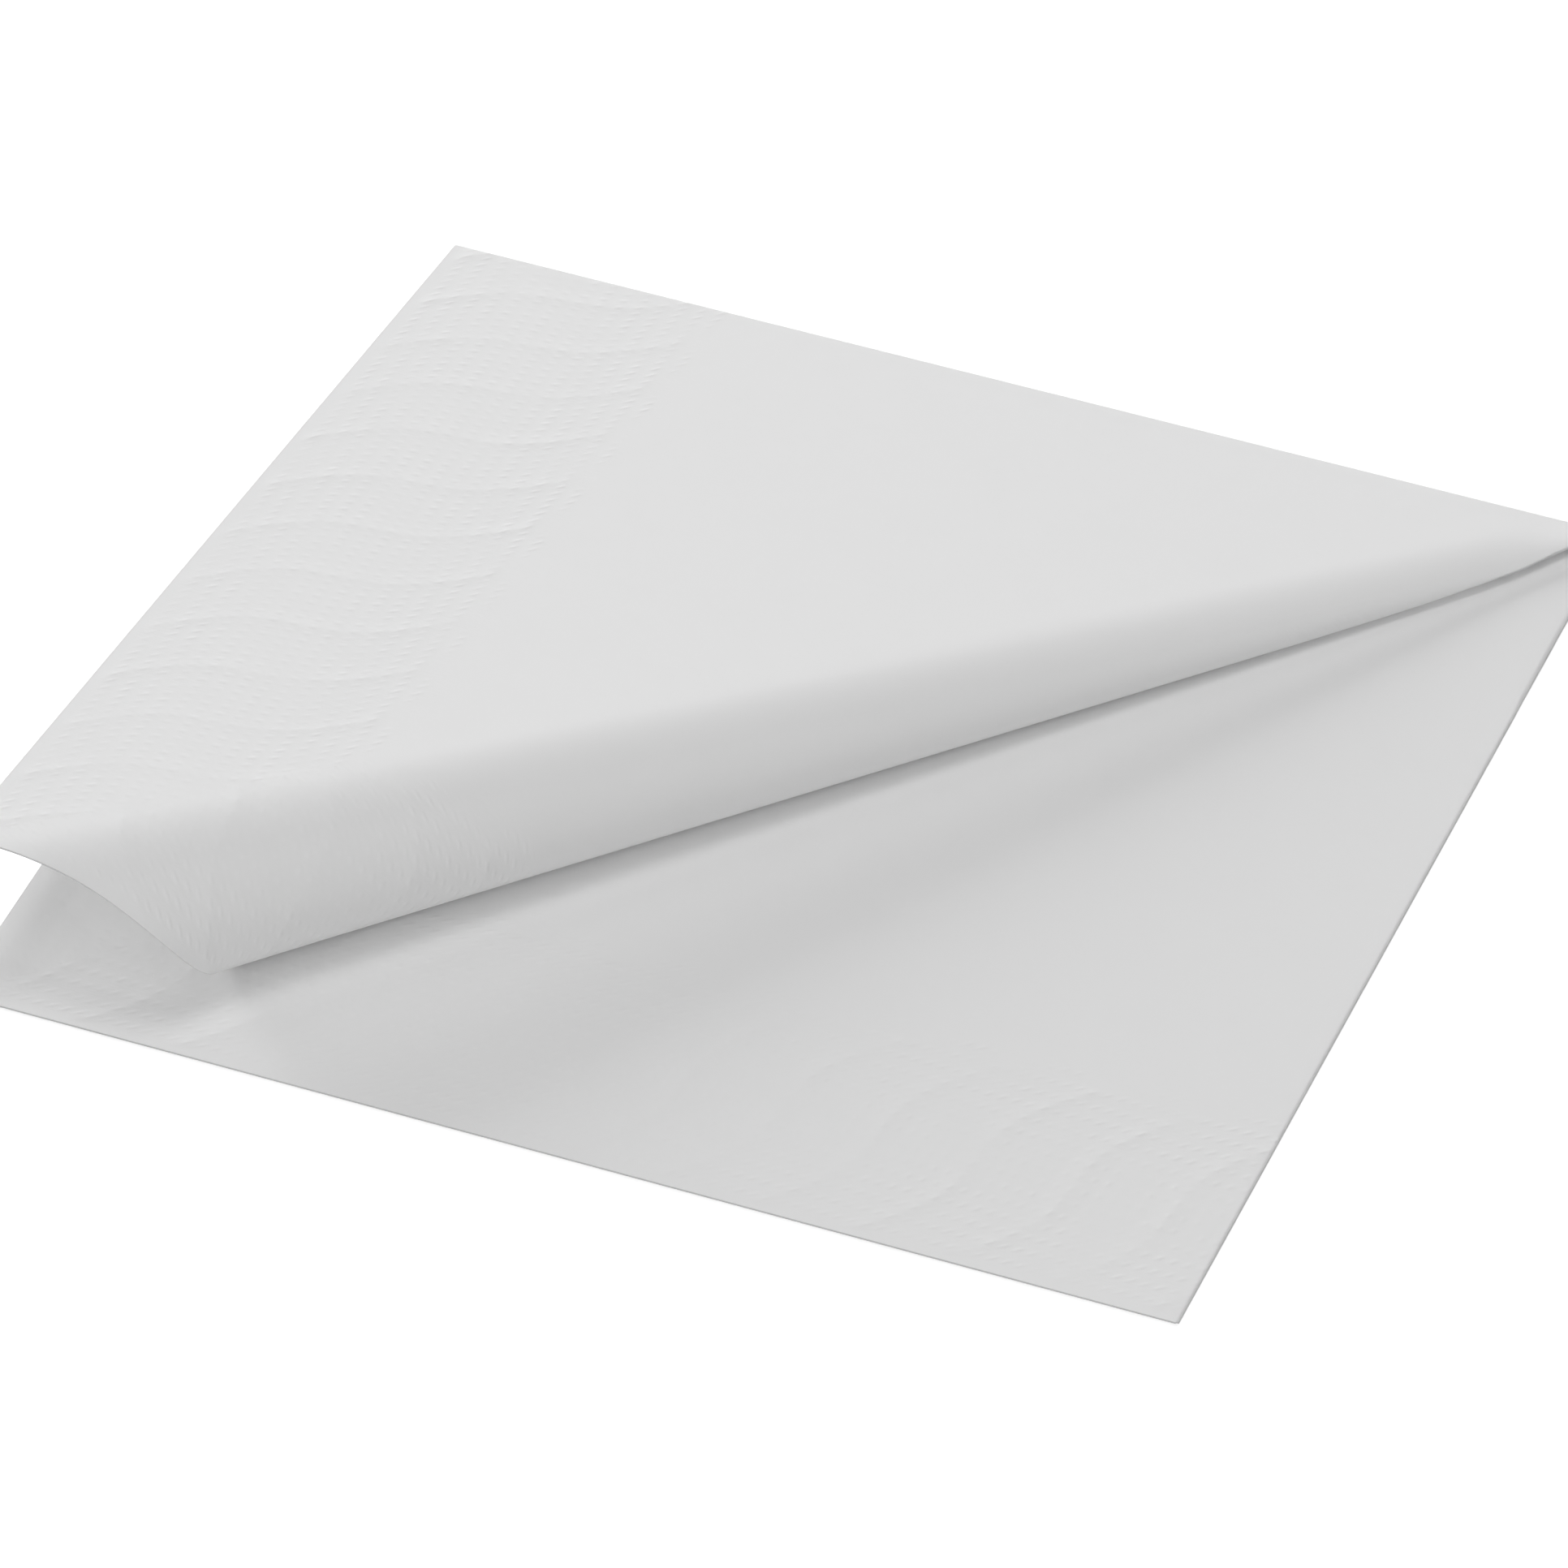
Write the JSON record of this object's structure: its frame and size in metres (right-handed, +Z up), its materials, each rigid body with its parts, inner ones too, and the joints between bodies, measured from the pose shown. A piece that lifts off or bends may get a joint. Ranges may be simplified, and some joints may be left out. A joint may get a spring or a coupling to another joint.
{
  "type": "paper napkin",
  "caption": "Square white paper napkin folded into quarters, its upper leaves raised and one corner rolled under along the diagonal.",
  "frame": {"origin": "middle of the folded napkin's outline, on the surface that it lies on", "axes": "+X along the back fold, towards the corner where both folds meet; +Y from the open front edges to the back fold; +Z up, square to the lower leaves"},
  "size_m": [0.1652, 0.1666, 0.0244],
  "materials": {
    "tissue": "matte embossed tissue"
  },
  "bodies": {
    "root": {"napkin": "tissue"}
  },
  "joints": []
}
